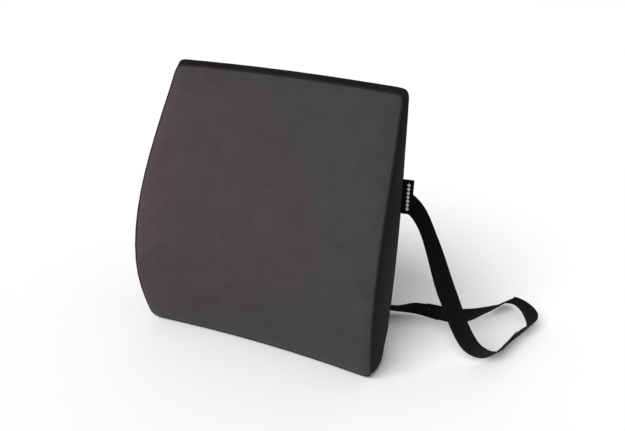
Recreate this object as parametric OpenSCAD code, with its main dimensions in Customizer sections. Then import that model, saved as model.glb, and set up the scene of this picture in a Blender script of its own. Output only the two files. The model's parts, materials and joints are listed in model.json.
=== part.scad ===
// Lumbar support cushion: a contoured foam block in a zipped fabric cover,
// with one strap sewn into the two back side seams.
// Millimetres. The origin is the middle of the bottom face. The front faces
// -Y, +X is the sitter's left hand side, and the cushion stands on z = 0.

/* [Cushion] */
// Height, standing on its bottom edge
cushion_h = 320; // [280:1:360]
// Width across the bottom edge
base_w = 295; // [270:1:320]
// Width across the top edge
top_w = 265; // [240:1:290]
// How far each side bows outward at mid height
side_bow = 4; // [0:0.5:8]
// How far the top edge rises at its middle
top_crown = 2; // [0:0.5:4]
// Radius of the two bottom corners, seen from the front
corner_r = 12; // [9:1:16]
// Radius of the two top corners, seen from the front
top_corner_r = 9; // [9:1:14]
// Radius round the front and back edges
edge_r = 8; // [6:1:9]

/* [Contour] */
// Distance from the middle of the bottom face to the back
back_plane = 37; // [30:1:44]
// Depth at the bottom edge
base_d = 73; // [60:1:90]
// Depth at the belly, which fills the lower back
belly_d = 105; // [90:1:120]
// Height of the belly above the bottom edge
belly_z = 112; // [95:1:135]
// Depth at the top edge
top_d = 27; // [24:1:40]
// How quickly the depth falls off above the belly
belly_fall = 1.15; // [1:0.05:1.3]
// Hollow of the front at mid width, as a share of the depth
hollow = 0.11; // [0:0.01:0.16]
// How far the back is cut forward at the bottom edge
heel = 7; // [5:0.5:8]
// Height over which that flat cut runs out
heel_h = 60; // [55:1:70]

/* [Cover] */
// Thickness of the cover fabric
fabric_t = 1.2; // [0.8:0.1:1.4]
// Clearance between the foam and the cover, which leaves the slider room
foam_gap = 1.9; // [1.9:0.1:2.5]
// How far the side band swells between its seams
band_swell = 3.5; // [0:0.1:4]
// Width of the sewn ridges
seam_w = 2.2; // [1.8:0.1:2.6]
// How far the sewn ridges stand proud of the cover
seam_h = 1; // [0.6:0.1:1.4]

/* [Zip] */
// Height of the zip above the bottom edge
zip_z = 24; // [22:1:27]
// Length of the rows of teeth
zip_l = 250; // [200:1:256]
// Height of the opening between the two back panels
zip_window = 8; // [7:0.5:9]
// Width of each tape
tape_w = 12; // [10:0.5:13]
// Radius of each row of teeth
coil_r = 0.9; // [0.7:0.05:0.95]
// Length of the slider along the zip
slider_l = 9; // [8:0.5:11]
// Radius of the pin that the pull turns on
pull_pin_r = 0.7; // [0.6:0.05:0.8]
// Running clearance between that pin and the pull's bore
pull_play = 0.06; // [0.03:0.01:0.1]
// Length of the pull tab from its pin
pull_l = 22; // [16:1:28]

/* [Label] */
// Height of the centre of the side label
label_z = 204.5; // [190:0.5:215]
// Length of the label along the seam
label_l = 40; // [30:1:42]
// How far the label stands out from its seam
label_w = 11; // [8:0.5:14]

/* [Strap] */
// Height of the strap's two sewn ends
strap_z = 201; // [195:1:210]
// Width of the strap
strap_w = 25; // [20:1:25]
// Thickness of the webbing
web_t = 1.2; // [1:0.1:1.4]
// Thickness of the elastic
elastic_t = 1.5; // [1.3:0.1:1.8]
// Length of each lap where webbing and elastic are sewn together
lap_l = 18; // [14:1:24]

/* [Hidden] */
$fn = 32;

charcoal = [0.27, 0.26, 0.27];
band_grey = [0.15, 0.14, 0.15];
web_black = [0.04, 0.04, 0.04];
foam_cream = [0.93, 0.89, 0.74];
zip_black = [0.08, 0.08, 0.09];
thread_grey = [0.22, 0.21, 0.22];

// ---------- Outline and contour ----------

// Half the width at height z
function half_w(z) =
    base_w/2 + (top_w - base_w)/2 * z/cushion_h
    + side_bow * (1 - pow((z - cushion_h/2)/(cushion_h/2), 2));

// Depth of the cushion at its side edges at height z
function depth(z) =
    z < belly_z
    ? base_d + (belly_d - base_d) * sin(90 * max(z, 0)/belly_z)
    : top_d + (belly_d - top_d)
      * pow(cos(90 * min((z - belly_z)/(cushion_h - belly_z), 1)), belly_fall);

// Front and back faces before their edges are rounded
function front_y(x, z) = back_plane - depth(z) * (1 - hollow * (1 - pow(min(abs(x)/half_w(z), 1), 2)));
function back_y(z) = back_plane - heel * max(1 - max(z, 0)/heel_h, 0);

// Right half of the outline, from bottom centre round to top centre, grown by g
BASE_STEPS = 4;
CORNER_STEPS = 4;
SIDE_STEPS = 14;
base_flat = half_w(corner_r) - corner_r;
top_flat = half_w(cushion_h - top_corner_r) - top_corner_r;
function crown(x) = top_crown * (1 - pow(x/top_flat, 2));
function right_half(g) = concat(
    [for (i = [0:BASE_STEPS - 1]) [base_flat * i/BASE_STEPS, -g]],
    [for (i = [0:CORNER_STEPS]) let (a = -90 + 90*i/CORNER_STEPS)
        [base_flat + (corner_r + g)*cos(a), corner_r + (corner_r + g)*sin(a)]],
    [for (i = [1:SIDE_STEPS - 1])
        let (z = corner_r + (cushion_h - corner_r - top_corner_r)*i/SIDE_STEPS) [half_w(z) + g, z]],
    [for (i = [0:CORNER_STEPS]) let (a = 90*i/CORNER_STEPS)
        [top_flat + (top_corner_r + g)*cos(a), cushion_h - top_corner_r + (top_corner_r + g)*sin(a)]],
    [for (i = [BASE_STEPS - 1:-1:0]) let (x = top_flat * i/BASE_STEPS)
        [x, cushion_h + g + crown(x)]]
);
HALF_N = 2*BASE_STEPS + 2*(CORNER_STEPS + 1) + SIDE_STEPS - 1;
// Whole outline, counter-clockwise seen from the front
function outline(g) = let (r = right_half(g))
    concat(r, [for (i = [HALF_N - 2:-1:1]) [-r[i][0], r[i][1]]]);
LOOP_N = 2*HALF_N - 2;
// First point past the corner on each side, where the base band ends
BASE_END = BASE_STEPS + CORNER_STEPS;

// ---------- Rings across the cushion ----------

// A station is [inset, across]: inset from the outline in mm, and across
// from 0 on the front face to 1 on the back face.
REACH = 150;
seam_in = edge_r * (1 - sin(60));
FACE_INSETS = [3.5, edge_r, 22, 46, 78, 112];
FRONT = concat([[seam_in, 0]], [for (d = FACE_INSETS) [d, 0]]);
BACK = concat([[seam_in, 1]], [for (d = FACE_INSETS) [d, 1]]);
BAND_STEPS = 4;
BAND = concat(
    [[seam_in, 0]],
    [for (i = [0:BAND_STEPS]) let (t = i/BAND_STEPS) [-band_swell * 4*t*(1 - t), t]],
    [[seam_in, 1]]);

function drop(d) = d >= edge_r ? 0 : edge_r - sqrt(pow(edge_r, 2) - pow(edge_r - max(d, 0), 2));
function surface_y(x, z, d, f, g) =
    (1 - f) * (front_y(x, z) - g + drop(d)) + f * (back_y(z) + g - drop(d));
// The bottom stays flat, so the swell of the band is held at the bottom edge
function ring(station, g) = let (k = 1 - station[0]/REACH)
    [for (o = outline(g)) let (x = o[0]*k, z = max(cushion_h/2 + (o[1] - cushion_h/2)*k, -g))
        [x, surface_y(x, z, station[0], station[1], g), z]];
function centre(f, g) = [0, surface_y(0, cushion_h/2, REACH, f, g), cushion_h/2];

// Triangles between two rings of n points that start at indices a and b
function strip(a, b, n, closed = true) = [for (i = [0:n - (closed ? 1 : 2)]) let (j = (i + 1) % n)
    each [[a + i, a + j, b + j], [a + i, b + j, b + i]]];
function fan(a, c, n) = [for (i = [0:n - 1]) [a + i, a + (i + 1) % n, c]];
function flip(faces) = [for (f = faces) [f[2], f[1], f[0]]];

// A closed solid through the whole cushion, grown by g
module block(g) {
    stations = concat(
        [for (i = [len(FRONT) - 1:-1:0]) FRONT[i]],
        [for (i = [1:BAND_STEPS + 1]) BAND[i]],
        BACK);
    n = LOOP_N;
    m = len(stations);
    points = concat([for (s = stations) each ring(s, g)], [centre(0, g), centre(1, g)]);
    faces = concat(
        [for (j = [0:m - 2]) each strip(j*n, (j + 1)*n, n)],
        flip(fan(0, n*m, n)),
        fan((m - 1)*n, n*m + 1, n));
    polyhedron(points, faces, convexity = 4);
}

// One fabric face, front (f = 0) or back (f = 1), with its true thickness
module face_sheet(stations, f) {
    n = LOOP_N;
    m = len(stations);
    layer = m*n + 1;
    points = concat(
        [for (s = stations) each ring(s, 0)], [centre(f, 0)],
        [for (s = stations) each ring(s, -fabric_t)], [centre(f, -fabric_t)]);
    outer = concat([for (j = [0:m - 2]) each strip(j*n, (j + 1)*n, n)], fan((m - 1)*n, m*n, n));
    inner = flip([for (t = outer) [for (v = t) v + layer]]);
    faces = concat(outer, inner, strip(layer, 0, n));
    polyhedron(points, f == 1 ? faces : flip(faces), convexity = 6);
}

// A length of boxing between the two seams, from outline point a to b
module band_sheet(a, b) {
    n = b - a + 1;
    m = len(BAND);
    layer = m*n;
    cut = function (s, g) let (r = ring(s, g)) [for (i = [a:b]) r[i % LOOP_N]];
    points = concat([for (s = BAND) each cut(s, 0)], [for (s = BAND) each cut(s, -fabric_t)]);
    outer = [for (j = [0:m - 2]) each strip(j*n, (j + 1)*n, n, false)];
    inner = flip([for (t = outer) [for (v = t) v + layer]]);
    rims = concat(strip(layer, 0, n, false), flip(strip((m - 1)*n + layer, (m - 1)*n, n, false)));
    ends = [for (j = [0:m - 2]) each let (p = j*n, q = (j + 1)*n) concat(
        [[p, q, q + layer], [p, q + layer, p + layer]],
        flip([[p + n - 1, q + n - 1, q + n - 1 + layer],
              [p + n - 1, q + n - 1 + layer, p + n - 1 + layer]]))];
    polyhedron(points, concat(outer, inner, rims, ends), convexity = 6);
}

// The raised ridge where two panels are sewn together, front (f = 0) or back (f = 1)
module seam_ridge(f) {
    n = LOOP_N;
    half = seam_w/2;
    low = 0.15;
    shoulder = 0.35;
    sides = [[seam_in - half/2, low], [seam_in, seam_h],
             [seam_in + half, shoulder], [seam_in + half/2, low]];
    points = [for (s = sides) each ring([s[0], f], s[1])];
    faces = [for (j = [0:3]) each strip(j*n, ((j + 1) % 4)*n, n)];
    polyhedron(points, f == 1 ? faces : flip(faces), convexity = 6);
}

// ---------- Cushion ----------

module foam_core() { color(foam_cream) block(-fabric_t - foam_gap); }
module front_panel() { color(charcoal) face_sheet(FRONT, 0); }
module side_band() { color(band_grey) band_sheet(BASE_END, LOOP_N - BASE_END); }
module base_band() { color(band_grey) band_sheet(LOOP_N - BASE_END, LOOP_N + BASE_END); }
module front_seam() { color(thread_grey) seam_ridge(0); }
module back_seam() { color(thread_grey) seam_ridge(1); }

// ---------- Back panels and zip ----------

// Frame of the zip: x along it, z up the back, y out of the back
zip_tilt = atan((back_y(zip_z + 1) - back_y(zip_z - 1))/2);
module on_zip() { translate([0, back_y(zip_z), zip_z]) rotate([-zip_tilt, 0, 0]) children(); }
module zip_box(x0, x1, y0, y1, z0, z1) {
    translate([x0, y0, z0]) cube([x1 - x0, y1 - y0, z1 - z0]);
}

stop_w = 3;
window_end = 5;
window_l = zip_l + 2*(stop_w + window_end);
slit = 0.4;
// The tapes hang a little below the fabric, and the teeth lie on them
tape_t = 0.5;
tape_drop = 0.25;
tape_y = -fabric_t - tape_drop - tape_t;
tape_end = 1;
// Half the gap between the two rows of teeth
row_gap = 0.7;
rest_gap = 0.05;
coil_z = coil_r + row_gap;
coil_y = tape_y + tape_t + rest_gap + coil_r;
// Slider: two plates, a flange on each side, and two lugs that hold the pull's pin
plate_t = 1;
under_t = 0.6;
flange_t = 0.85;
plate_gap = 0.2;
flange_gap = 0.45;
lug_r = 1.3;
slider_z = coil_z + coil_r + flange_gap + flange_t;
slider_y = coil_y + coil_r + plate_gap;
pin_y = slider_y + plate_t + lug_r;
slider_rest = zip_l/2 - slider_l/2 - 1;
// Overlap of shapes that are one piece
merge = 0.1;

// Opening between the back panels: a window over the teeth and a slit out to both sides
module back_opening() {
    on_zip() {
        zip_box(-window_l/2, window_l/2, -20, 20, -zip_window/2, zip_window/2);
        zip_box(-base_w, base_w, -20, 20, -slit/2, slit/2);
    }
}
module above_zip(up) {
    on_zip() zip_box(-base_w, base_w, -60, 60, up > 0 ? 0 : -cushion_h, up > 0 ? 2*cushion_h : 0);
}
module back_half(up) {
    difference() {
        intersection() { face_sheet(BACK, 1); above_zip(up); }
        back_opening();
    }
}
module back_panel() { color(charcoal) back_half(1); }
module back_lower_strip() { color(charcoal) back_half(-1); }

module tape(up) {
    inner = coil_z - coil_r;
    half_l = window_l/2 - tape_end;
    on_zip() zip_box(-half_l, half_l, tape_y, tape_y + tape_t,
                     up > 0 ? inner : -inner - tape_w, up > 0 ? inner + tape_w : -inner);
}
module coil(up) {
    on_zip() translate([-zip_l/2, coil_y, up*coil_z]) rotate([0, 90, 0]) cylinder(r = coil_r, h = zip_l);
}
module zip_tape_upper() { color(zip_black) tape(1); }
module zip_tape_lower() { color(zip_black) tape(-1); }
module zip_coil_upper() { color(zip_black) coil(1); }
module zip_coil_lower() { color(zip_black) coil(-1); }

// A crimped stop over both rows of teeth at each end
module zip_stops() {
    z = coil_z + coil_r;
    end_gap = 0.1;
    crimp = 0.1;
    color("silver") on_zip() for (s = [-1, 1]) {
        x = s > 0 ? zip_l/2 + end_gap : -zip_l/2 - end_gap - stop_w;
        zip_box(x, x + stop_w, tape_y + tape_t + rest_gap, coil_y + coil_r + crimp, -z, z);
    }
}

// The slider's two plates stand over and under the tapes, joined by a post between the rows
module zip_slider() {
    h = slider_l/2;
    under = tape_y - plate_gap;
    over_tape = tape_y + tape_t + 0.15;
    post_l = 3;
    post_t = 0.7;
    lug_t = 0.8;
    lug_z = 1.7;
    color("silver") on_zip() translate([slider_rest, 0, 0]) {
        zip_box(-h, h, slider_y, slider_y + plate_t, -slider_z, slider_z);
        zip_box(-h, h, under - under_t, under, -slider_z, slider_z);
        zip_box(-post_l/2, post_l/2, under - merge, slider_y + merge, -post_t/2, post_t/2);
        for (s = [-1, 1]) {
            flange_z = s > 0 ? slider_z - flange_t : -slider_z;
            zip_box(-h, h, over_tape, slider_y + merge, flange_z, flange_z + flange_t);
            z = s > 0 ? lug_z : -lug_z - lug_t;
            zip_box(-lug_r, lug_r, slider_y + plate_t - merge, pin_y, z, z + lug_t);
            translate([0, pin_y, z]) cylinder(r = lug_r, h = lug_t);
        }
        translate([0, pin_y, -lug_z - merge]) cylinder(r = pull_pin_r, h = 2*(lug_z + merge));
    }
}

// The pull tab lies along the zip and flips over on the slider's pin
module zip_pull() {
    barrel_r = 1.25;
    barrel_l = 3.1;
    tab_w = 5;
    tab_t = 1;
    neck = 4;
    shoulder = 0.5;
    eye_r = 1.2;
    tip = -pull_l + tab_w/2;
    eye_x = tip + 0.4;
    color("silver") on_zip() translate([slider_rest, pin_y, 0]) difference() {
        union() {
            translate([0, 0, -barrel_l/2]) cylinder(r = barrel_r, h = barrel_l);
            zip_box(-neck, 0, -tab_t/2, tab_t/2, -barrel_l/2, barrel_l/2);
            translate([tip, tab_t/2, 0]) rotate([90, 0, 0]) cylinder(d = tab_w, h = tab_t);
            zip_box(tip, -neck + shoulder, -tab_t/2, tab_t/2, -tab_w/2, tab_w/2);
        }
        translate([0, 0, -barrel_l]) cylinder(r = pull_pin_r + pull_play, h = 2*barrel_l);
        translate([eye_x, barrel_l, 0]) rotate([90, 0, 0]) cylinder(r = eye_r, h = 2*barrel_l);
    }
}

// ---------- Label and strap ends, caught in the back seam ----------

seam_y = back_plane - edge_r/2;
function seam_x(z) = half_w(z) - seam_in;
label_lean = atan((seam_x(label_z - 1) - seam_x(label_z + 1))/2);
label_t = 0.7;
label_root = 1.6;
// The label lies this far in front of the strap's end
label_step = 1.5;
label_y = seam_y - label_step;

// A flag of folded woven tape whose hinge line runs up the seam
module side_label() {
    color(web_black)
        translate([seam_x(label_z) + label_root, label_y, label_z]) rotate([0, -label_lean, 0]) {
            translate([0, 0, -label_l/2]) cylinder(d = label_t, h = label_l);
            zip_box(0, label_w, -label_t/2, label_t/2, -label_l/2, label_l/2);
        }
}

// The strap's sewn end reaches from inside the seam to just past the label
end_in = 4;
end_out = 1;
end_x = seam_x(label_z) + label_root + label_w + end_out;
// The end is cut on the slant at which the strap leaves the seam
end_slant = 25;
module strap_end() {
    inner = seam_x(strap_z) - end_in;
    a = strap_w/2;
    skew = a * tan(end_slant);
    translate([0, seam_y + web_t/2, strap_z]) rotate([90, 0, 0]) linear_extrude(web_t)
        polygon([[inner, -a], [end_x - skew, -a], [end_x + skew, a], [inner, a]]);
}
module strap_end_right() { color(web_black) strap_end(); }
module strap_end_left() { color(web_black) mirror([1, 0, 0]) strap_end(); }

// ---------- Strap ----------

// The drooped strap's centre line, from the right sewn end to the left one.
// Each point is [x, distance behind the back, z, lean], where lean turns the
// band's width away from upright.
lie = strap_w/2 + 0.8;
start_x = end_x + 0.3;
droop = [
    [start_x, -edge_r/2, strap_z, 0], [163, -5.5, 189.5, 8],                 // leaves the right seam
    [181.5, -13, 160.5, 21], [209.5, -13.5, 100, 23.5], [244, -3, 37, 36],     // hangs beside the cushion
    [272, 25, lie, 38], [296, 78, lie, 20], [318, 130, lie, 24],             // lies on its edge, away
    [293, 169, lie, -38], [270, 136, lie, -35], [226, 93, lie, -7],          // turns back to the cushion
    [166, 87, lie, -22], [136, 73, lie, -41], [80, 70, lie, -15],            // passes behind it
    [20, 80, lie, 0], [-44, 92, lie, 0], [-104, 94, lie, 10],
    [-150, 80, 19, 25], [-178, 52, 50, 28], [-186, 26, 95, 22],              // rises to the left seam
    [-182, 8, 140, 16], [-168, -2, 180, 8], [-start_x, -edge_r/2, strap_z, 0]
];
strap_path = [for (p = droop) p + [0, back_plane, 0, 0]];
LAST = len(strap_path) - 1;
// Places of the two laps, counted along the points above
lap_out = 5.8;
lap_back = 10.6;
STEP = 0.2;

function seg(i) = let (d = strap_path[i + 1] - strap_path[i]) norm([d[0], d[1], d[2]]);
function slope(i) =
    i == 0 ? [cos(end_slant), 0, -sin(end_slant), 0]
    : i == LAST ? [cos(end_slant), 0, sin(end_slant), 0]
    : (strap_path[i + 1] - strap_path[i - 1])/(seg(i) + seg(i - 1));
function along(u) = let (
        i = min(floor(u), LAST - 1), t = u - i, l = seg(i), t2 = t*t, t3 = t2*t)
    (2*t3 - 3*t2 + 1)*strap_path[i] + (t3 - 2*t2 + t)*l*slope(i)
    + (3*t2 - 2*t3)*strap_path[i + 1] + (t3 - t2)*l*slope(i + 1);
function xyz(p) = [p[0], p[1], p[2]];
function unit(v) = v/norm(v);
function heading(u) = unit(xyz(along(min(u + 0.02, LAST))) - xyz(along(max(u - 0.02, 0))));
// [centre, width direction, normal] of the strap at u
function band_frame(u) = let (
        p = along(u), t = heading(u), up = unit([0, 0, 1] - t[2]*t), side = cross(t, up),
        w = up*cos(p[3]) + side*sin(p[3]))
    [xyz(p), w, cross(t, w)];

// A flat band from u0 to u1, its mid surface lifted off the centre line
module band(u0, u1, width, thick, lift = 0) {
    n = max(ceil((u1 - u0)/STEP), 1);
    a = width/2;
    b = thick/2;
    points = [for (i = [0:n]) let (f = band_frame(u0 + (u1 - u0)*i/n), c = f[0] + f[2]*lift)
        each [c - f[1]*a - f[2]*b, c + f[1]*a - f[2]*b, c + f[1]*a + f[2]*b, c - f[1]*a + f[2]*b]];
    // Both broad faces are split along the same diagonal, so they stay apart where the band twists
    sides = [[0, 1, 5], [0, 5, 4], [1, 2, 6], [1, 6, 5], [2, 3, 6], [3, 7, 6], [3, 0, 4], [3, 4, 7]];
    faces = concat(
        [[0, 2, 1], [0, 3, 2]],
        [for (i = [0:n - 1], t = sides) [for (v = t) v + 4*i]],
        [for (t = [[0, 1, 2], [0, 2, 3]]) [for (v = t) v + 4*n]]);
    polyhedron(points, flip(faces), convexity = 8);
}

// Half a lap, as a share of the span it lies in
half_out = lap_l/2/seg(floor(lap_out));
half_back = lap_l/2/seg(floor(lap_back));
lap_gap = 0.1;
elastic_lift = (web_t + elastic_t)/2 + lap_gap;
module strap_right() { color(web_black) band(0, lap_out + half_out, strap_w, web_t); }
module strap_left() { color(web_black) band(lap_back - half_back, LAST, strap_w, web_t); }
module strap_elastic() {
    color([0.07, 0.05, 0.055])
        band(lap_out - half_out, lap_back + half_back, strap_w, elastic_t, elastic_lift);
}

// Two rows of stitches across each lap, through both layers
module lap_stitches() {
    row_share = 0.7;
    stitch_share = 0.6/lap_l;
    proud = 0.3;
    margin = 1.5;
    thick = web_t + lap_gap + elastic_t + 2*proud;
    color(thread_grey) for (lap = [[lap_out, half_out], [lap_back, half_back]], s = [-1, 1] * row_share)
        band(lap[0] + lap[1]*(s - stitch_share), lap[0] + lap[1]*(s + stitch_share),
             strap_w - 2*margin, thick, elastic_lift/2);
}

foam_core();
front_panel();
side_band();
base_band();
back_panel();
back_lower_strip();
front_seam();
back_seam();
zip_tape_upper();
zip_tape_lower();
zip_coil_upper();
zip_coil_lower();
zip_stops();
zip_slider();
zip_pull();
side_label();
strap_end_right();
strap_end_left();
strap_right();
strap_elastic();
strap_left();
lap_stitches();
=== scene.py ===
"""Lumbar support cushion: the looks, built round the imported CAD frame. Metres, in the row frame."""
import json
import math

import bmesh
import bpy
import numpy as np
from mathutils import Matrix, Vector, geometry, noise
from mathutils.bvhtree import BVHTree


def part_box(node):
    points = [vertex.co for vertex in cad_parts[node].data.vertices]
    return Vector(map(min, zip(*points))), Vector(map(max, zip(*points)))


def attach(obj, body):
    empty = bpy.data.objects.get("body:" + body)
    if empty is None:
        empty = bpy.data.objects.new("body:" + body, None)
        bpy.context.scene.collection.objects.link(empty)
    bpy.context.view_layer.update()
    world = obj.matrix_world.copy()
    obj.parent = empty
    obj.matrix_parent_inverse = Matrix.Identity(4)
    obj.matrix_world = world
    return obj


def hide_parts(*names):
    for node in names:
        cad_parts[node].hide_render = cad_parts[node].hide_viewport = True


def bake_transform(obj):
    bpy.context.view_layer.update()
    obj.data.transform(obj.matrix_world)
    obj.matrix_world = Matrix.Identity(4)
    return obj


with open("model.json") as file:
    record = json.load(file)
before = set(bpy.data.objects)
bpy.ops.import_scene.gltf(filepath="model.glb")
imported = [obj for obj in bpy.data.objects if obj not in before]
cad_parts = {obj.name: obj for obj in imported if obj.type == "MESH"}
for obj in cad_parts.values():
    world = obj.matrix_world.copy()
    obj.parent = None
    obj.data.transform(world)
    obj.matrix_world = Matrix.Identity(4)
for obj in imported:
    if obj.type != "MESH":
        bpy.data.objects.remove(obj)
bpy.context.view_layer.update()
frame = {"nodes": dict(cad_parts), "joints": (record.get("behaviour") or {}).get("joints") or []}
MM = 0.001
FAR = 0.3  # well outside the cushion, where probes towards its surfaces start
WELD_DIST = 1e-6  # CAD points closer than this are one point

# Regions of the cover, kept as its faces' material numbers
FRONT, SIDE, BASE, BACK = range(4)

# Cover grid: faces across, up, and from seam to seam over the band
ACROSS, UP, OVER = 64, 70, 20
LOOP = 2 * (ACROSS + UP)
OUTLINE_FINE = 2880  # points that the outline is first cut into
RELAX_ROUNDS = 400  # smoothing passes that spread a panel's grid evenly
SEAM_CREST = 1.0 * MM  # how far the CAD ridge stands over the seam line
SEAM_TILT = math.radians(60)  # the seam's place round the edge
CORE_GAP = 3.1 * MM  # from the cover's outer face to the foam
FABRIC_T = 1.2 * MM
FOAM_INSET = 4.2 * MM  # from the cover's outer face to the foam before the foam is smoothed
PROBE_IN = 4 * MM  # how far inside the outline a panel's edge is probed
PROBE_OUT = 2 * MM  # how far outside the outline a seam's ridge is looked for
BAND_OUT = 8 * MM  # how far outside a straight band its bulging surface is looked for

# Padding
START_INSET = 1.1 * MM
INSET_REACH = 6 * MM
PUFF_CAP = 2.2 * MM
PRESSURE = 4.0
SIM_FRAMES = 20
PUCKER = 0.35 * MM
PUCKER_REACH = 7 * MM
PUCKER_RATE = 75  # noise cells in a metre of seam
CORD_RATE = 220  # the same for the cord in the seam, whose thickness varies
SEAM_CREASE = 0.8
VALLEY = 1.4 * MM  # how deep the stitching pulls the seams in
VALLEY_REACH = 7 * MM
ROLL = 1.0 * MM  # how far the padding rolls off towards the front seam
ROLL_REACH = 16 * MM
BACK_SHARE = 0.5  # how much of the valley the back seam has
CORD_H = 0.65 * MM  # how far the turned fabric edge stands up in the valley

# Zip
SLIT = 0.2 * MM
LIP = 4.05 * MM
HEM = 5 * MM
ZIP_REACH = 16 * MM
ZIP_STILL = 9 * MM  # no padding this close to the zip
ZIP_FADE = 16 * MM
TAPE_W = 12 * MM
TAPE_T = 0.5 * MM

# Light all round, where the camera's own view of the backdrop is 1
AMBIENT = 0.46

# Strap
STRAP_W = 25 * MM
WEB_T = 1.2 * MM
ELASTIC_T = 1.5 * MM
STRAP_STEP = 3 * MM
EASED = 34  # stations next to the seam over which a strap's curve is evened out
EASE_ROUNDS = 40
LEAD = 2  # CAD stations that the bend out of the seam takes the place of
BEND_BACK = 1.5 * MM

# Label
LABEL_L = 40 * MM
LABEL_REACH = 11 * MM  # how far it stands out of the seam
LABEL_TUCK = 4 * MM
LABEL_HALF_T = 0.35 * MM
LABEL_FLARE = 0.25 * MM
LABEL_STEPS = 40
LABEL_ACROSS = 24
LOZENGES = 7
LOZENGE_HALF = 2.3 * MM
LOZENGE_PITCH = 4.6 * MM
LOZENGE_OUT = 5.6 * MM

# Camera, with its angles in degrees
CAMERA_PLACE = (0.2282, -0.5404, 0.4176)
CAMERA_SENSOR, CAMERA_LENS = 36, 31.82
CAMERA_HEADING, CAMERA_TILT, CAMERA_ROLL = 18.29, -23.18, 4.41

# Lamps
KEY_FROM, KEY_SPREAD, KEY_STRENGTH = (-0.5, -1.6, 1.4), 35, 3.0
FILL_PLACE, FILL_TARGET = (-0.30, -0.16, 0.20), (-0.12, -0.04, 0.16)
FILL_SIZE, FILL_POWER, FILL_COLOUR = 0.24, 0.85, (1.0, 0.28, 0.46)
FLOOR_HALF = 40
FLOOR_DROP = 0.2 * MM
FLOOR_TONE = 0.95


# ---------- Small helpers ----------

def unit(v):
    v = np.asarray(v, float)
    return v / np.linalg.norm(v, axis=-1, keepdims=True)


def smooth_step(t):
    t = np.clip(t, 0, 1)
    return t * t * (3 - 2 * t)


def distance_along(points):
    """How far along a path each of its points lies."""
    return np.concatenate([[0], np.cumsum(np.linalg.norm(np.diff(points, axis=0), axis=1))])


def joint_named(name):
    return next(j for j in frame["joints"] if j["name"] == name)


def middle(node):
    low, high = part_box(node)
    return (low + high) / 2


def cad_tree(*names):
    """A search tree over the surfaces of some CAD nodes."""
    points, faces = [], []
    for name in names:
        mesh = frame["nodes"][name].data
        start = len(points)
        points += [v.co.copy() for v in mesh.vertices]
        faces += [[start + i for i in p.vertices] for p in mesh.polygons]
    return BVHTree.FromPolygons(points, faces)


def link_mesh(name, mesh):
    obj = bpy.data.objects.new(name, mesh)
    bpy.context.scene.collection.objects.link(obj)
    return obj


def new_object(name, points, faces, smooth=True):
    mesh = bpy.data.meshes.new(name)
    mesh.from_pydata([tuple(p) for p in points], [], [tuple(f) for f in faces])
    mesh.validate()
    if smooth:
        mesh.polygons.foreach_set("use_smooth", [True] * len(mesh.polygons))
    mesh.update()
    return link_mesh(name, mesh)


def from_bmesh(name, source):
    """A new object from a bmesh, which is freed."""
    mesh = bpy.data.meshes.new(name)
    source.to_mesh(mesh)
    source.free()
    return link_mesh(name, mesh)


def bake(obj):
    """Turns an object's modifiers into its own mesh."""
    graph = bpy.context.evaluated_depsgraph_get()
    mesh = bpy.data.meshes.new_from_object(obj.evaluated_get(graph))
    obj.modifiers.clear()
    old = obj.data
    obj.data = mesh
    bpy.data.meshes.remove(old)
    return obj


def coordinates(mesh):
    co = np.zeros(len(mesh.vertices) * 3)
    mesh.vertices.foreach_get("co", co)
    return co.reshape(-1, 3)


def set_coordinates(mesh, co):
    mesh.vertices.foreach_set("co", np.asarray(co, float).ravel())
    mesh.update()


def vertex_normals(mesh):
    n = np.zeros(len(mesh.vertices) * 3)
    mesh.vertices.foreach_get("normal", n)
    return n.reshape(-1, 3)


def sweep(name, rings, closed=False):
    """A tube through rings of points: rings[k][i] is point i of ring k. Its ends are capped unless closed."""
    count, size = len(rings), len(rings[0])
    points = [p for ring in rings for p in ring]
    faces = []
    for k in range(count if closed else count - 1):
        a, b = k * size, ((k + 1) % count) * size
        faces += [(a + i, a + (i + 1) % size, b + (i + 1) % size, b + i) for i in range(size)]
    if not closed:
        faces.append(tuple(reversed(range(size))))
        faces.append(tuple(range((count - 1) * size, count * size)))
    return new_object(name, points, faces)


def join(name, parts):
    """One object from several, each keeping its own solids."""
    points, faces = [], []
    for part in parts:
        start = len(points)
        points += [v.co.copy() for v in part.data.vertices]
        faces += [[start + i for i in p.vertices] for p in part.data.polygons]
        mesh = part.data
        bpy.data.objects.remove(part)
        bpy.data.meshes.remove(mesh)
    return new_object(name, points, faces)


# ---------- Materials ----------

def material(name, roughness=0.9, metallic=0.0):
    """A new material, with its nodes, links and main shader."""
    mat = bpy.data.materials.new(name)
    mat.use_nodes = True
    nodes, links = mat.node_tree.nodes, mat.node_tree.links
    shader = nodes["Principled BSDF"]
    shader.inputs["Roughness"].default_value = roughness
    shader.inputs["Metallic"].default_value = metallic
    return mat, nodes, links, shader


def noise_node(nodes, links, source, scale, detail=3.0, stretch=(1, 1, 1), roughness=0.55):
    mapping = nodes.new("ShaderNodeMapping")
    mapping.inputs["Scale"].default_value = stretch
    links.new(source, mapping.inputs["Vector"])
    tex = nodes.new("ShaderNodeTexNoise")
    tex.inputs["Scale"].default_value = scale
    tex.inputs["Detail"].default_value = detail
    tex.inputs["Roughness"].default_value = roughness
    links.new(mapping.outputs["Vector"], tex.inputs["Vector"])
    return tex.outputs["Fac"]


def maths(nodes, links, operation, a, b):
    node = nodes.new("ShaderNodeMath")
    node.operation = operation
    for socket, value in zip(node.inputs, (a, b)):
        if isinstance(value, (int, float)):
            socket.default_value = value
        else:
            links.new(value, socket)
    return node.outputs[0]


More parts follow.
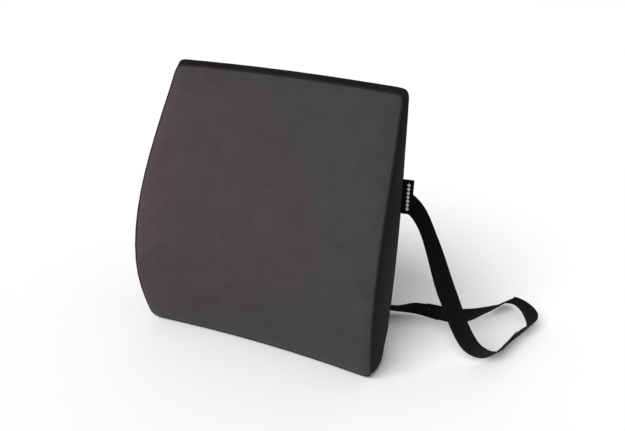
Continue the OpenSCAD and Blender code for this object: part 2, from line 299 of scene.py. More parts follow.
def ramp(nodes, links, source, *stops):
    node = nodes.new("ShaderNodeValToRGB")
    elements = node.color_ramp.elements
    while len(elements) < len(stops):
        elements.new(0.5)
    for element, (place, colour) in zip(elements, stops):
        element.position = place
        element.color = (*colour, 1)
    links.new(source, node.inputs["Fac"])
    return node.outputs["Color"]


def bump(nodes, links, shader, height, distance, strength=1.0):
    node = nodes.new("ShaderNodeBump")
    node.inputs["Strength"].default_value = strength
    node.inputs["Distance"].default_value = distance
    links.new(height, node.inputs["Height"])
    links.new(node.outputs["Normal"], shader.inputs["Normal"])


def brushed_fabric(name, dark, light, sheen, shine):
    """Soft napped cover fabric: faint mottling, fine horizontal streaks and a short pile."""
    mat, nodes, links, shader = material(name, 0.95)
    where = nodes.new("ShaderNodeTexCoord").outputs["Object"]
    mottle = noise_node(nodes, links, where, 38, 4)
    streak = noise_node(nodes, links, where, 420, 2, (0.35, 1, 1.6))
    pile = noise_node(nodes, links, where, 1500, 3, roughness=0.7)
    shade = maths(nodes, links, "ADD", maths(nodes, links, "MULTIPLY", mottle, 0.5),
                  maths(nodes, links, "MULTIPLY", streak, 0.5))
    links.new(ramp(nodes, links, shade, (0.36, dark), (0.64, light)), shader.inputs["Base Color"])
    height = maths(nodes, links, "ADD", maths(nodes, links, "MULTIPLY", streak, 0.6), pile)
    bump(nodes, links, shader, height, 0.25 * MM, 0.6)
    shader.inputs["Sheen Weight"].default_value = sheen
    shader.inputs["Sheen Roughness"].default_value = 0.45
    shader.inputs["Specular IOR Level"].default_value = shine
    return mat


def webbing_fabric(name, dark, light, pick):
    """Ribbed narrow webbing: picks across it from its lengthwise coordinate, fine yarn noise over them."""
    mat, nodes, links, shader = material(name, 0.75)
    coordinate = nodes.new("ShaderNodeTexCoord")
    along = nodes.new("ShaderNodeSeparateXYZ")
    links.new(coordinate.outputs["UV"], along.inputs[0])
    turn = maths(nodes, links, "MULTIPLY", along.outputs["X"], 2 * math.pi / pick)
    picks = maths(nodes, links, "MULTIPLY_ADD", maths(nodes, links, "SINE", turn, 0), 0.5)
    yarn = noise_node(nodes, links, coordinate.outputs["Object"], 1300, 2)
    height = maths(nodes, links, "ADD", picks, yarn)
    links.new(ramp(nodes, links, yarn, (0.3, dark), (0.7, light)), shader.inputs["Base Color"])
    bump(nodes, links, shader, height, 0.15 * MM, 0.7)
    shader.inputs["Sheen Weight"].default_value = 0.01
    shader.inputs["Specular IOR Level"].default_value = 0.06
    return mat


def plain_fabric(name, dark, light, scale, sheen=0.1):
    mat, nodes, links, shader = material(name, 0.9)
    where = nodes.new("ShaderNodeTexCoord").outputs["Object"]
    grain = noise_node(nodes, links, where, scale, 3)
    links.new(ramp(nodes, links, grain, (0.35, dark), (0.65, light)), shader.inputs["Base Color"])
    bump(nodes, links, shader, grain, 0.15 * MM, 0.6)
    shader.inputs["Sheen Weight"].default_value = sheen
    shader.inputs["Specular IOR Level"].default_value = 0.08
    return mat


def lacquered_metal(name):
    """Black lacquer, worn to bright metal on its edges."""
    mat, nodes, links, shader = material(name, 0.35, 0.6)
    where = nodes.new("ShaderNodeTexCoord").outputs["Object"]
    grain = noise_node(nodes, links, where, 700, 4)
    edge = nodes.new("ShaderNodeNewGeometry").outputs["Pointiness"]
    worn = maths(nodes, links, "MULTIPLY", maths(nodes, links, "SUBTRACT", edge, 0.53), 9.0)
    worn = maths(nodes, links, "MULTIPLY", worn, grain)
    links.new(ramp(nodes, links, worn, (0.1, (0.015, 0.015, 0.017)), (0.5, (0.32, 0.31, 0.3))),
              shader.inputs["Base Color"])
    links.new(ramp(nodes, links, grain, (0.3, (0.28,) * 3), (0.7, (0.45,) * 3)), shader.inputs["Roughness"])
    bump(nodes, links, shader, grain, 0.02 * MM, 0.5)
    return mat


def nylon(name):
    mat, nodes, links, shader = material(name, 0.3)
    where = nodes.new("ShaderNodeTexCoord").outputs["Object"]
    grain = noise_node(nodes, links, where, 900, 2)
    links.new(ramp(nodes, links, grain, (0.3, (0.012,) * 3), (0.7, (0.03,) * 3)), shader.inputs["Base Color"])
    bump(nodes, links, shader, grain, 0.03 * MM, 0.4)
    return mat


def open_foam(name):
    mat, nodes, links, shader = material(name, 1.0)
    where = nodes.new("ShaderNodeTexCoord").outputs["Object"]
    pores = nodes.new("ShaderNodeTexVoronoi")
    pores.inputs["Scale"].default_value = 650
    links.new(where, pores.inputs["Vector"])
    cells = pores.outputs["Distance"]
    links.new(ramp(nodes, links, cells, (0.1, (0.55, 0.49, 0.33)), (0.5, (0.86, 0.8, 0.62))),
              shader.inputs["Base Color"])
    bump(nodes, links, shader, cells, 0.6 * MM, 0.9)
    return mat


FACE = brushed_fabric("face_fabric", (0.0335, 0.0333, 0.0333), (0.0405, 0.0402, 0.0402), 0.05, 0.05)
# The band is the face's fabric in a far darker tone: painted shade for the sides and base that turn away from
# the key light.
SHADED_BAND = brushed_fabric("band_fabric", (0.0065, 0.0056, 0.0058), (0.0125, 0.0106, 0.0111), 0.03, 0.03)
# The seam cords are dark like the band: painted shade for the shadowed valley between the panels.
SHADED_SEAM = plain_fabric("seam_fabric", (0.0070, 0.0062, 0.0064), (0.0150, 0.0134, 0.0138), 1400, 0.02)
THREAD = plain_fabric("sewing_thread", (0.012, 0.011, 0.012), (0.026, 0.024, 0.025), 3000)
WEBBING = webbing_fabric("black_webbing", (0.0008, 0.0007, 0.0007), (0.0034, 0.0027, 0.0030), 1.6 * MM)
ELASTIC = webbing_fabric("black_elastic", (0.0050, 0.0030, 0.0034), (0.0120, 0.0080, 0.0090), 1.1 * MM)
TAPE = webbing_fabric("zip_tape_weave", (0.006, 0.006, 0.0065), (0.014, 0.014, 0.015), 0.9 * MM)
LABEL = webbing_fabric("label_weave", (0.001, 0.001, 0.001), (0.004, 0.004, 0.004), 0.7 * MM)
MOTIF = plain_fabric("label_motif_thread", (0.42, 0.42, 0.42), (0.62, 0.62, 0.62), 2600)
METAL = lacquered_metal("black_lacquered_metal")
NYLON = nylon("black_nylon")
FOAM = open_foam("cream_foam")


def finish_piece(obj, mat, body=None, replaces=()):
    """Gives a piece its material, its body and the CAD nodes it stands for."""
    obj.data.materials.clear()
    obj.data.materials.append(mat)
    if replaces:
        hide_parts(*replaces)
    if body:
        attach(obj, body)


# ---------- Cover: grid from the CAD surfaces ----------

def outline_loop():
    """The cover's outline in (x, z), from the lower left corner round to the right, with outward normals."""
    ridge = [Vector((v.co.x, v.co.z)) for v in frame["nodes"]["back_seam"].data.vertices]
    hull = np.array([list(ridge[i]) for i in geometry.convex_hull_2d(ridge)])
    turn = np.roll(hull, -1, 0) - hull
    if np.sum(hull[:, 0] * turn[:, 1] - hull[:, 1] * turn[:, 0]) < 0:
        hull = hull[::-1]
    closed = np.vstack([hull, hull[:1]])
    run = distance_along(closed)
    at = np.arange(OUTLINE_FINE) * run[-1] / OUTLINE_FINE
    fine = np.stack([np.interp(at, run, closed[:, 0]), np.interp(at, run, closed[:, 1])], 1)
    corners = [int(np.argmax(fine @ np.array(d))) for d in ((-1, -1), (1, -1), (1, 1), (-1, 1))]
    loop = []
    for k, steps in enumerate((ACROSS, UP, ACROSS, UP)):
        first, last = corners[k], corners[(k + 1) % 4]
        side = fine[np.arange(first, last + 1 + (OUTLINE_FINE if last < first else 0)) % OUTLINE_FINE]
        length = distance_along(side)
        at = np.linspace(0, length[-1], steps + 1)[:-1]
        loop += list(np.stack([np.interp(at, length, side[:, 0]), np.interp(at, length, side[:, 1])], 1))
    loop = np.array(loop)
    ahead = unit(np.roll(loop, -1, 0) - np.roll(loop, 1, 0))
    return loop, np.stack([ahead[:, 1], -ahead[:, 0]], 1)


def seam_line(node, loop, out, panel, sign):
    """The sewn line under a CAD ridge. sign is -1 on the front and 1 on the back."""
    ridge = cad_tree(node)
    line = []
    for (x, z), (nx, nz) in zip(loop, out):
        probe = Vector((x - PROBE_IN * nx, sign * FAR, z - PROBE_IN * nz))
        hit = panel.ray_cast(probe, Vector((0, -sign, 0)))[0]
        y = hit.y if hit else middle(node).y
        guess = Vector((x + PROBE_OUT * nx, y - sign * PROBE_OUT, z + PROBE_OUT * nz))
        near = ridge.find_nearest(guess)[0]
        lean = Vector((nx * math.sin(SEAM_TILT), sign * math.cos(SEAM_TILT), nz * math.sin(SEAM_TILT)))
        line.append(near - lean * SEAM_CREST)
    return np.array(line)


def loop_index(a, b):
    """Place in the outline loop of grid point (a, b) on the grid's rim."""
    if b == 0:
        return a
    if a == ACROSS:
        return ACROSS + b
    if b == UP:
        return 2 * ACROSS + UP - a
    return (2 * ACROSS + 2 * UP - b) % LOOP


def panel_grid(rim, surface, sign):
    """A grid of points over a panel: its rim is the seam, its inside follows the CAD surface."""
    side = [np.array([rim[loop_index(a, 0)] for a in range(ACROSS + 1)]),
            np.array([rim[loop_index(a, UP)] for a in range(ACROSS + 1)]),
            np.array([rim[loop_index(0, b)] for b in range(UP + 1)]),
            np.array([rim[loop_index(ACROSS, b)] for b in range(UP + 1)])]
    u = np.linspace(0, 1, ACROSS + 1)[:, None, None]
    v = np.linspace(0, 1, UP + 1)[None, :, None]
    bottom, top = side[0][:, None, :], side[1][:, None, :]
    left, right = side[2][None, :, :], side[3][None, :, :]
    grid = ((1 - v) * bottom + v * top + (1 - u) * left + u * right
            - (1 - u) * (1 - v) * side[0][0] - u * (1 - v) * side[0][-1]
            - (1 - u) * v * side[1][0] - u * v * side[1][-1])
    for _ in range(RELAX_ROUNDS):
        grid[1:-1, 1:-1] = (grid[:-2, 1:-1] + grid[2:, 1:-1] + grid[1:-1, :-2] + grid[1:-1, 2:]) / 4
    core = cad_tree("foam_core")
    for a in range(1, ACROSS):
        for b in range(1, UP):
            x, _, z = grid[a, b]
            probe, down = Vector((x, sign * FAR, z)), Vector((0, -sign, 0))
            hit = surface.ray_cast(probe, down)[0]
            if hit is None:
                hit = core.ray_cast(probe, down)[0]
                hit = hit + Vector((0, sign * CORE_GAP, 0)) if hit else surface.find_nearest(probe)[0]
            grid[a, b, 1] = hit.y
    return grid


def build_cover():
    """The closed cover as one quad mesh, with its region on each face, and its two seams."""
    loop, out = outline_loop()
    front_tree = cad_tree("front_panel")
    back_tree = cad_tree("back_panel", "back_lower_strip")
    band_tree = cad_tree("side_band", "base_band")
    front_rim = seam_line("front_seam", loop, out, front_tree, -1)
    back_rim = seam_line("back_seam", loop, out, back_tree, 1)
    front = panel_grid(front_rim, front_tree, -1).reshape(-1, 3)
    back = panel_grid(back_rim, back_tree, 1).reshape(-1, 3)
    rows = []
    for j in range(1, OVER):
        t = j / OVER
        row = []
        for i in range(LOOP):
            outward = Vector((out[i, 0], 0, out[i, 1]))
            guess = Vector(front_rim[i] * (1 - t) + back_rim[i] * t) + outward * BAND_OUT
            near = band_tree.find_nearest(guess)[0]
            row.append((near.x, guess.y * 0.5 + near.y * 0.5, near.z))
        rows += row
    points = np.vstack([front, back, np.array(rows)])
    size = (ACROSS + 1) * (UP + 1)

    def on_panel(base, a, b):
        return base + a * (UP + 1) + b

    rim_index = [0] * LOOP
    for a in range(ACROSS + 1):
        for b in range(UP + 1):
            if a in (0, ACROSS) or b in (0, UP):
                rim_index[loop_index(a, b)] = on_panel(0, a, b)

    def on_band(j, i):
        i %= LOOP
        if j == 0:
            return rim_index[i]
        if j == OVER:
            return size + rim_index[i]
        return 2 * size + (j - 1) * LOOP + i

    faces, region = [], []
    for a in range(ACROSS):
        for b in range(UP):
            quad = [(a, b), (a + 1, b), (a + 1, b + 1), (a, b + 1)]
            faces.append([on_panel(0, *q) for q in quad])
            region.append(FRONT)
            faces.append([on_panel(size, *q) for q in reversed(quad)])
            region.append(BACK)
    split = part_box("side_band")[0].z
    for i in range(LOOP):
        low = max(loop[i, 1], loop[(i + 1) % LOOP, 1]) < split + 1 * MM
        for j in range(OVER):
            faces.append([on_band(j, i), on_band(j + 1, i), on_band(j + 1, i + 1), on_band(j, i + 1)])
            region.append(BASE if low else SIDE)
    cover = new_object("cover", points, faces)
    cover.data.polygons.foreach_set("material_index", region)
    front_seam = [on_band(0, i) for i in range(LOOP)]
    back_seam = [on_band(OVER, i) for i in range(LOOP)]
    return cover, front_seam, back_seam


# ---------- Cover: padding ----------

def zip_frame():
    """The zip's middle, and its directions along, out of the back and up."""
    spin = joint_named("pull_flip")
    up = Vector(spin["axis"]).normalized()
    up = up if up.z > 0 else -up
    along = Vector((1, 0, 0))
    return (middle("zip_coil_upper") + middle("zip_coil_lower")) / 2, along, up.cross(along), up


def pressurise(obj, held):
    """Blows the closed cover up against its seams and returns the swollen points."""
    pins = obj.vertex_groups.new(name="pins")
    for i, weight in held.items():
        pins.add([i], weight, "REPLACE")
    cloth = obj.modifiers.new("Cloth", "CLOTH")
    cloth.settings.quality = 5
    cloth.settings.mass = 0.3
    cloth.settings.tension_stiffness = 15
    cloth.settings.compression_stiffness = 15
    cloth.settings.shear_stiffness = 5
    cloth.settings.bending_stiffness = 0.5
    cloth.settings.vertex_group_mass = "pins"
    cloth.settings.use_pressure = True
    cloth.settings.uniform_pressure_force = PRESSURE
    cloth.settings.effector_weights.gravity = 0
    cloth.point_cache.frame_start = 1
    cloth.point_cache.frame_end = SIM_FRAMES
    scene = bpy.context.scene
    for f in range(1, SIM_FRAMES + 1):
        scene.frame_set(f)
    graph = bpy.context.evaluated_depsgraph_get()
    swollen = coordinates(obj.evaluated_get(graph).data)
    obj.modifiers.clear()
    obj.vertex_groups.clear()
    scene.frame_set(1)
    return swollen


def loop_tree(rest, *loops):
    """A search tree over closed lines, each a list of point numbers."""
    edges = [[n * LOOP + k, n * LOOP + (k + 1) % LOOP, n * LOOP + (k + 1) % LOOP]
             for n in range(len(loops)) for k in range(LOOP)]
    return BVHTree.FromPolygons([Vector(rest[i]) for loop in loops for i in loop], edges)


def pad_cover(cover, front_seam, back_seam):
    """Pads the cover: draws it in, blows it up, caps the swelling and pulls the seams in."""
    mesh = cover.data
    rest, normals = coordinates(mesh), vertex_normals(mesh)
    seams = front_seam + back_seam
    lines = loop_tree(rest, front_seam, back_seam)
    to_front = loop_tree(rest, front_seam)
    away = np.array([lines.find_nearest(Vector(p))[3] for p in rest])
    middle_of_zip, _, _, up = zip_frame()
    over_zip = np.abs((rest - np.array(middle_of_zip)) @ np.array(up))
    on_back = rest[:, 1] > middle_of_zip.y - 3 * MM
    near_zip = np.where(on_back, 1 - smooth_step((over_zip - ZIP_STILL) / ZIP_FADE), 0)
    inset = START_INSET * smooth_step(away / INSET_REACH) * (1 - near_zip)
    start = rest - normals * inset[:, None]
    set_coordinates(mesh, start)
    held = {i: 1.0 for i in seams}
    for i in np.nonzero(near_zip > 0.02)[0]:
        held[int(i)] = max(held.get(int(i), 0.0), float(near_zip[i]))
    swell = pressurise(cover, held) - start
    length = np.linalg.norm(swell, axis=1, keepdims=True) + 1e-9
    swell = swell / length * PUFF_CAP * np.tanh(length / PUFF_CAP)
    wave = np.array([noise.noise(Vector(p) * PUCKER_RATE) for p in rest])
    pucker = PUCKER * wave * np.exp(-away / PUCKER_REACH) * (away > 0.5 * MM) * (1 - near_zip)
    front_share = np.array([to_front.find_nearest(Vector(p))[3] for p in rest]) < away + 0.1 * MM
    valley = np.where(front_share, 1.0, BACK_SHARE) * VALLEY * np.exp(-(away / VALLEY_REACH) ** 2)
    valley = (valley + front_share * ROLL * np.exp(-(away / ROLL_REACH) ** 2)) * (1 - near_zip)
    shaped = start + swell + normals * (pucker - valley)[:, None]
    shaped[:, 2] = np.maximum(shaped[:, 2], 0)
    set_coordinates(mesh, shaped)


def refine(cover, seams):
    """One subdivision that keeps the seam lines crisp."""
    mesh = cover.data
    rims = [set(seam) for seam in seams]
    crease = mesh.attributes.new("crease_edge", "FLOAT", "EDGE")
    for edge in mesh.edges:
        a, b = edge.vertices
        if any(a in rim and b in rim for rim in rims):
            crease.data[edge.index].value = SEAM_CREASE
    cover.modifiers.new("Fine", "SUBSURF").levels = 1
    bake(cover)


def region_piece(name, cover, region):
    """A copy of one region's faces as its own open sheet."""
    sheet = bmesh.new()
    sheet.from_mesh(cover.data)
    gone = [f for f in sheet.faces if f.material_index != region]
    bmesh.ops.delete(sheet, geom=gone, context="FACES")
    for f in sheet.faces:
        f.material_index = 0
    return from_bmesh(name, sheet)


def thicken(obj, thickness=FABRIC_T, round_edges=0.0):
    """Gives a sheet its fabric thickness inward, with rounded rims where asked."""
    shell = obj.modifiers.new("Thick", "SOLIDIFY")
    shell.thickness = thickness
    shell.offset = -1
    if round_edges:
        soft = obj.modifiers.new("Round", "BEVEL")
        soft.width = round_edges
        soft.segments = 2
        soft.limit_method = "ANGLE"
        soft.angle_limit = math.radians(55)
    bake(obj)
    obj.data.polygons.foreach_set("use_smooth", [True] * len(obj.data.polygons))
    return obj


# ---------- Back panels and zip ----------

def split_back(sheet):
    """Parts the back at the zip into a panel and a strip, opens it over the teeth and hems it."""
    origin, _, out, up = zip_frame()
    window = (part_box("zip_tape_upper")[1].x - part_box("zip_tape_upper")[0].x) / 2
    lines = [SLIT] + [SLIT + d * MM for d in (0.7, 1.6, 3.0, 4.2, 5.0, 5.8, 7.5)]
    pieces = []
    for name, side in (("back_panel", 1), ("back_lower_strip", -1)):
        part = bmesh.new()
        part.from_mesh(sheet.data)
        for k, distance in enumerate(lines):
            everything = part.verts[:] + part.edges[:] + part.faces[:]
            bmesh.ops.bisect_plane(part, geom=everything, plane_co=origin + up * side * distance,
                                   plane_no=up * side, clear_inner=k == 0, dist=1e-7)
        for v in part.verts:
            offset = (v.co - origin).dot(up) * side
            open_share = float(smooth_step((window - abs(v.co.x)) / (9 * MM)))
            lip = SLIT + (LIP - SLIT) * open_share
            if offset < ZIP_REACH:
                moved = lip + (offset - SLIT) * (ZIP_REACH - lip) / (ZIP_REACH - SLIT)
                hem = offset - SLIT
                rise = 0.35 * MM * (1 - smooth_step((hem - HEM * 0.55) / (HEM * 0.45)))
                groove = -0.35 * MM * math.exp(-((hem - HEM) / (0.7 * MM)) ** 2)
                v.co += up * side * (moved - offset) + out * float(rise + groove)
        pieces.append(thicken(from_bmesh(name, part), round_edges=0.4 * MM))
    return pieces


def zip_coil(name, side):
    """One row of teeth: a coil of nylon, wound so that its heads reach for the other row."""
    low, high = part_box(name)
    _, along, out, up = zip_frame()
    centre = middle(name)
    height = 0.9 * MM
    reach = 1.15 * MM
    wire = 0.28 * MM
    pitch = 1.4 * MM
    turns = int((high.x - low.x - 2 * wire) / pitch)
    steps = 12
    rings = []
    for k in range(turns * steps + 1):
        a = 2 * math.pi * k / steps
        x = low.x + wire + pitch * k / steps - centre.x
        spot = (centre + along * x + up * (reach - wire) * math.cos(a)
                + out * (height - wire) * math.sin(a) - up * side * (reach - height))
        radial = up * math.cos(a) + out * math.sin(a)
        rings.append([spot + (radial * math.cos(b) + along * math.sin(b)) * wire
                      for b in (2 * math.pi * m / 6 for m in range(6))])
    return sweep(name, rings)


def zip_tape(name):
    """One woven tape of the zip: a flat ribbed band with rounded edges."""
    low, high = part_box(name)
    _, along, out, up = zip_frame()
    centre = middle(name)
    half_l = (high.x - low.x) / 2
    stations = [(centre + along * x, up, out) for x in np.linspace(-half_l, half_l, 90)]
    return ribbon(name, stations, TAPE_W, TAPE_T, ribs=9, rib_share=0.25)


def dress_cad_metal(name, width):
    """Rounds a small CAD metal part's edges and gives it worn lacquer."""
    obj = frame["nodes"][name]
    weld = obj.modifiers.new("Weld", "WELD")
    weld.merge_threshold = WELD_DIST
    soft = obj.modifiers.new("Round", "BEVEL")
    soft.width = width
    soft.segments = 3
    soft.limit_method = "ANGLE"
    soft.angle_limit = math.radians(40)
    obj.data.materials.clear()
    obj.data.materials.append(METAL)


# ---------- Ribbons ----------

def ribbon_profile(width, thick, ribs, rib_share, per_rib=4):
    """A closed flat section with rounded selvedges and lengthwise ribs: (across, out) pairs."""
    steps = ribs * per_rib
    face = []
    for k in range(steps + 1):
        s = -1 + 2 * k / steps
        edge = math.sqrt(max(1 - abs(s) ** 14, 0.0))
        rib = 1 - rib_share * (0.5 + 0.5 * math.cos(math.pi * ribs * (s + 1)))
        face.append((s * width / 2, max(edge, 0.18) * rib * thick / 2))
    return face + [(w, -t) for w, t in reversed(face)]


def ribbon(name, stations, width, thick, ribs=12, rib_share=0.22):
    """A band through stations of (centre, width direction, normal), with a lengthwise texture coordinate."""
    profile = ribbon_profile(width, thick, ribs, rib_share)
    rings = [[Vector(c) + Vector(w) * a + Vector(n) * b for a, b in profile] for c, w, n in stations]
    obj = sweep(name, rings)
    spots = np.array([list(c) for c, _, _ in stations])
    run = distance_along(spots)
    layer = obj.data.uv_layers.new(name="run")
    size = len(profile)
    for p in obj.data.polygons:
        for k in p.loop_indices:
            v = obj.data.loops[k].vertex_index
            layer.data[k].uv = (run[v // size], profile[v % size][0])
    return obj


def band_stations(node, thick, near):
    """Stations of a flat CAD band in order, from the end that lies nearest to a point."""
    part = bmesh.new()
    part.from_mesh(frame["nodes"][node].data)
    bmesh.ops.remove_doubles(part, verts=part.verts, dist=WELD_DIST)

    def is_rung(edge):
        return min(abs(edge.calc_length() - thick), abs(edge.calc_length() - STRAP_W)) < 0.02 * MM

    group, members = {}, []
    for v in part.verts:
        if v in group:
            continue
        group[v] = len(members)
        found, stack = [], [v]
        while stack:
            here = stack.pop()
            found.append(here)
            for e in here.link_edges:
                other = e.other_vert(here)
                if is_rung(e) and other not in group:
                    group[other] = len(members)
                    stack.append(other)
        members.append(found)
    beside = [set() for _ in members]
    for e in part.edges:
        a, b = (group[v] for v in e.verts)
        if a != b:
            beside[a].add(b)
            beside[b].add(a)
    centres = [sum((v.co for v in m), Vector()) / len(m) for m in members]
    here = min((k for k in range(len(members)) if len(beside[k]) == 1),
               key=lambda k: (centres[k] - Vector(near)).length)
    order, last = [], None
    while here is not None:
        order.append(here)
        ahead = [k for k in beside[here] if k != last]
        last, here = here, (ahead[0] if ahead else None)
    stations = []
    for k in order:
        first = members[k][0]
        others = sorted(members[k][1:], key=lambda v: (v.co - first.co).length)
        normal = (first.co - others[0].co).normalized()
        width = (first.co - others[1].co).normalized()
        if stations:
            if width.dot(stations[-1][1]) < 0:
                width = -width
            if normal.dot(stations[-1][2]) < 0:
                normal = -normal
        stations.append((centres[k], width, normal))
    part.free()
    return stations


def squared_station(row):
    """A station from its nine numbers, with its normal turned square to its width."""
    width = Vector(row[3:6]).normalized()
    normal = Vector(row[6:9])
    return Vector(row[:3]), width, (normal - width * normal.dot(width)).normalized()


def resample(stations, step):
    """The same band with even, closer stations on a smooth curve through the given ones."""
    rows = np.array([[*c, *w, *n] for c, w, n in stations])
    knots = distance_along(rows[:, :3])
    slopes = np.gradient(rows, knots, axis=0)
    out = []
    for s in np.linspace(0, knots[-1], max(2, int(round(knots[-1] / step)) + 1)):
        k = min(max(int(np.searchsorted(knots, s, "right")) - 1, 0), len(knots) - 2)
        gap = knots[k + 1] - knots[k]
        t = (s - knots[k]) / gap
        row = ((2 * t**3 - 3 * t**2 + 1) * rows[k] + (t**3 - 2 * t**2 + t) * gap * slopes[k]
               + (3 * t**2 - 2 * t**3) * rows[k + 1] + (t**3 - t**2) * gap * slopes[k + 1])
        out.append(squared_station(row))
    return out


def ease(stations):
    """The stations with the small kinks in their first stretch evened out. The first three stay."""
    rows = np.array([[*c, *w, *n] for c, w, n in stations])
    share = np.clip((EASED - np.arange(len(rows))) / (EASED / 3), 0, 1)[:, None]
    share[:3] = 0
    for _ in range(EASE_ROUNDS):
        mean = rows.copy()
        mean[1:-1] = rows[:-2] / 4 + rows[1:-1] / 2 + rows[2:] / 4
        rows += (mean - rows) * share
    return [squared_station(row) for row in rows]


def sewn_end(node, band):
    """A strap's stations with its sewn-in end in front, which turns smoothly into the hanging strap."""
    low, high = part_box(node)
    side = 1 if high.x > 0 else -1
    start, first = band[0][0], band[LEAD]
    inner = Vector((low.x if side > 0 else high.x, start.y, start.z))
    bend = Vector((start.x - side * BEND_BACK, start.y, start.z))
    upright = Vector((0, 0, 1 if first[1].z > 0 else -1))
    flat = Vector((0, 1 if first[2].y > 0 else -1, 0))
    stations = []
    for t in np.linspace(0, 1, 7)[:-1]:
        turn = float(smooth_step(t))
        centre = inner * (1 - t) ** 2 + bend * 2 * t * (1 - t) + first[0] * t * t
        width = (upright * (1 - turn) + first[1] * turn).normalized()
        normal = (flat * (1 - turn) + first[2] * turn).normalized()
        stations.append((centre, width, normal))
    return stations + band[LEAD:]


# ---------- Stitches and seams ----------

def dashes(name, points, normals, pitch, length, radius):
    """A row of stitches: short rounded dashes of thread along a path."""
    spots = np.array([list(p) for p in points])
    run = distance_along(spots)
    lift = np.array([list(n) for n in normals])
    verts, faces = [], []
    sides = 6
    shape = [(-0.5, 0.25, -0.5), (-0.34, 0.9, 0.1), (0.0, 1.0, 0.35), (0.34, 0.9, 0.1), (0.5, 0.25, -0.5)]
    for s in np.arange(pitch / 2, run[-1] - pitch / 2, pitch):
        frames = []
        for share, fat, rise in shape:
            at = s + share * length
            p = np.array([np.interp(at, run, spots[:, k]) for k in range(3)])
            n = unit(np.array([np.interp(at, run, lift[:, k]) for k in range(3)]))
            q = np.array([np.interp(at + 0.2 * MM, run, spots[:, k]) for k in range(3)])
            t = unit(q - p)
            side = np.cross(t, n)
            frames.append((p + n * rise * radius, n, side, fat * radius))
        base = len(verts)
        for p, n, side, r in frames:
            verts += [p + (n * math.cos(a) + side * math.sin(a)) * r
                      for a in (2 * math.pi * m / sides for m in range(sides))]
        for k in range(len(shape) - 1):
            a, b = base + k * sides, base + (k + 1) * sides
            faces += [(a + i, b + i, b + (i + 1) % sides, a + (i + 1) % sides) for i in range(sides)]
        faces.append(tuple(base + i for i in range(sides)))
        faces.append(tuple(base + (len(shape) - 1) * sides + i for i in reversed(range(sides))))
    return new_object(name, verts, faces)


def seam_cord(name, line, lean):
    """The turned fabric edge that stands in the valley between two panels."""
    ahead = unit(np.roll(line, -1, 0) - np.roll(line, 1, 0))
    out = unit(lean - ahead * np.sum(lean * ahead, axis=1, keepdims=True))
    side = np.cross(ahead, out)
    half_w, height, sink = 0.9 * MM, CORD_H, 0.5 * MM
    rings = []
    for k, p in enumerate(line):
        swell = 1 + 0.12 * noise.noise(Vector(p) * CORD_RATE)
        rings.append([p + side[k] * half_w * swell * math.cos(a)
                      + out[k] * ((height * swell if math.sin(a) > 0 else sink) * math.sin(a))
                      for a in (2 * math.pi * m / 10 for m in range(10))])
    obj = sweep(name, rings, closed=True)
    obj.modifiers.new("Fine", "SUBSURF").levels = 1
    return bake(obj)


# ---------- Assembly ----------

def make_cover():
    cover, front_seam, back_seam = build_cover()
    rough = coordinates(cover.data)
    rough_normals = vertex_normals(cover.data)
    foam = new_object("foam_core", rough - rough_normals * FOAM_INSET,
                      [p.vertices[:] for p in cover.data.polygons])
    relax = foam.modifiers.new("Relax", "SMOOTH")
    relax.factor = 0.5
    relax.iterations = 6
    bake(foam)
    finish_piece(foam, FOAM, "cushion", ["foam_core"])

    pad_cover(cover, front_seam, back_seam)
    final = coordinates(cover.data)
    normals = vertex_normals(cover.data)
    refine(cover, (front_seam, back_seam))

    face = region_piece("front_panel", cover, FRONT)
    finish_piece(thicken(face), FACE, "cushion", ["front_panel"])
    # Side and base bands take the darker band tone, which is painted shade.
    side = region_piece("side_band", cover, SIDE)
    finish_piece(thicken(side), SHADED_BAND, "cushion", ["side_band"])
    base = region_piece("base_band", cover, BASE)
    finish_piece(thicken(base), SHADED_BAND, "cushion", ["base_band"])
    back_sheet = region_piece("back_sheet", cover, BACK)
    panel, strip = split_back(back_sheet)
    finish_piece(panel, FACE, "cushion", ["back_panel"])
    finish_piece(strip, FACE, "cushion", ["back_lower_strip"])
    bpy.data.objects.remove(back_sheet)
    bpy.data.objects.remove(cover)

    for name, seam in (("front_seam", front_seam), ("back_seam", back_seam)):
        line, lean = final[seam], normals[seam]
        cord = seam_cord(name, line, lean)
        finish_piece(cord, SHADED_SEAM, "cushion", [name])
        closed = np.vstack([line, line[:1]])
        row = dashes(name + "_stitches", closed + np.vstack([lean, lean[:1]]) * 0.95 * CORD_H,
                     np.vstack([lean, lean[:1]]), pitch=3.4 * MM, length=2.5 * MM, radius=0.28 * MM)
        finish_piece(row, THREAD, "cushion")


def make_zip():
    for name, side in (("zip_coil_upper", 1), ("zip_coil_lower", -1)):
        finish_piece(zip_coil(name, side), NYLON, "cushion", [name])
    for name in ("zip_tape_upper", "zip_tape_lower"):
        finish_piece(zip_tape(name), TAPE, "cushion", [name])
    dress_cad_metal("zip_slider", 0.22 * MM)
    dress_cad_metal("zip_pull", 0.25 * MM)
    dress_cad_metal("zip_stops", 0.3 * MM)
    origin, along, out, up = zip_frame()
    half = (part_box("zip_tape_upper")[1].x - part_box("zip_tape_upper")[0].x) / 2 - TAPE_W / 2
    skin = 0.55 * MM
    for name, side in (("zip_stitches_upper", 1), ("zip_stitches_lower", -1)):
        offset = LIP + (HEM - SLIT) * (ZIP_REACH - LIP) / (ZIP_REACH - SLIT)
        line = [origin + along * x + up * side * offset + out * skin for x in np.linspace(-half, half, 60)]
        row = dashes(name, line, [out] * len(line), pitch=3.2 * MM, length=2.4 * MM, radius=0.26 * MM)
        finish_piece(row, THREAD, "cushion")


